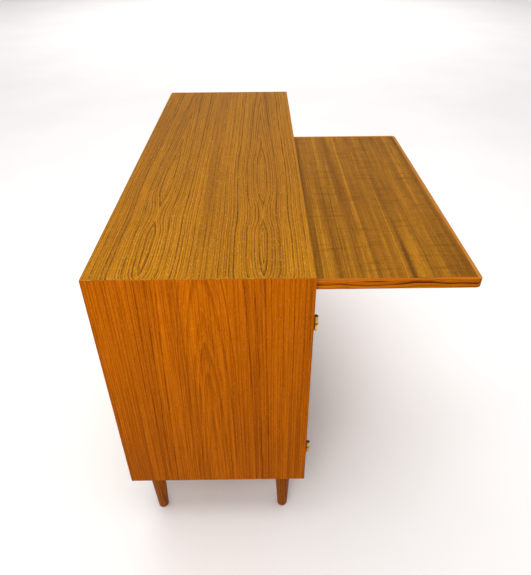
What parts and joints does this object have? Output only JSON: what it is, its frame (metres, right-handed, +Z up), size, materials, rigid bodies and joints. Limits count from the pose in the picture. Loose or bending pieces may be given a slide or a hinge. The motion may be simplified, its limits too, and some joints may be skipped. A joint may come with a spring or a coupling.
{
  "type": "dressing table",
  "caption": "Low veneered cabinet on turned legs with a sliding dressing leaf under its top, hinged doors with a mirror inside, and a bay of drawers.",
  "frame": {"origin": "on the floor, under the middle of the box that encloses the cabinet with its leaf pulled out", "axes": "+X along the length towards the drawers, +Y towards the back, +Z up; the doors, drawers and leaf face -Y"},
  "size_m": [1.2, 0.729, 0.775],
  "materials": {
    "teak_veneer": "satin oiled teak veneer",
    "teak_solid": "satin oiled solid teak",
    "teak_lipping": "satin oiled solid edge strip",
    "beech": "bare planed hardwood",
    "plywood": "bare sanded plywood",
    "brass": "aged satin",
    "steel": "zinc plated",
    "plastic": "matte brown",
    "mirror_glass": "silvered polished"
  },
  "bodies": {
    "case": {"back_panel": "plywood", "back_panel_screws": "steel", "case_bottom": "teak_veneer", "case_hinge_screws": "brass", "case_top": "teak_veneer", "door_catches": "plastic", "drawer_runners": "beech", "foot_glides": "plastic", "hinge_case_halves": "brass", "leaf_kicker_strips": "beech", "leaf_runners": "beech", "leaf_stop_blocks": "beech", "left_end_panel": "teak_veneer", "left_shelf": "teak_veneer", "leg_back_left": "teak_solid", "leg_back_right": "teak_solid", "leg_bolts": "steel", "leg_front_left": "teak_solid", "leg_front_right": "teak_solid", "leg_mounting_plates": "steel", "main_divider": "teak_veneer", "middle_divider": "teak_veneer", "middle_shelf": "teak_veneer", "plate_screws": "steel", "right_end_panel": "teak_veneer", "runner_screws": "steel", "shelf_pins": "brass"},
    "leaf": {"leaf_front_lipping": "teak_lipping", "leaf_left_lipping": "teak_lipping", "leaf_panel": "teak_veneer", "leaf_right_lipping": "teak_lipping", "leaf_stop_pins": "beech"},
    "left_door": {"left_door_hinge_screws": "brass", "left_door_knob": "teak_solid", "left_door_panel": "teak_veneer", "left_door_strike": "steel", "left_hinge_door_halves": "brass", "mirror_backing": "plywood", "mirror_clips": "brass", "mirror_plate": "mirror_glass"},
    "middle_door": {"middle_door_hinge_screws": "brass", "middle_door_knob": "teak_solid", "middle_door_panel": "teak_veneer", "middle_door_strike": "steel", "middle_hinge_door_halves": "brass"},
    "drawer_1": {"drawer_1_back": "beech", "drawer_1_bottom": "plywood", "drawer_1_front": "teak_veneer", "drawer_1_knob": "teak_solid", "drawer_1_sides": "beech"},
    "drawer_2": {"drawer_2_back": "beech", "drawer_2_bottom": "plywood", "drawer_2_front": "teak_veneer", "drawer_2_knob": "teak_solid", "drawer_2_sides": "beech"},
    "drawer_3": {"drawer_3_back": "beech", "drawer_3_bottom": "plywood", "drawer_3_front": "teak_veneer", "drawer_3_knob": "teak_solid", "drawer_3_sides": "beech"}
  },
  "joints": [
    {"name": "leaf_slide", "type": "slide", "parent": "case", "child": "leaf", "axis": [0, 1, 0], "range_m": [0, 0.309]},
    {"name": "left_door_hinge", "type": "hinge", "parent": "case", "child": "left_door", "pos_m": [-0.579, -0.06125, 0.4675], "axis": [0, 0, -1], "range_deg": [0, 170]},
    {"name": "middle_door_hinge", "type": "hinge", "parent": "case", "child": "middle_door", "pos_m": [0.18567, -0.06125, 0.4675], "axis": [0, 0, 1], "range_deg": [0, 90]},
    {"name": "drawer_1_slide", "type": "slide", "parent": "case", "child": "drawer_1", "axis": [0, -1, 0], "range_m": [0, 0.3]},
    {"name": "drawer_2_slide", "type": "slide", "parent": "case", "child": "drawer_2", "axis": [0, -1, 0], "range_m": [0, 0.3]},
    {"name": "drawer_3_slide", "type": "slide", "parent": "case", "child": "drawer_3", "axis": [0, -1, 0], "range_m": [0, 0.3]}
  ]
}
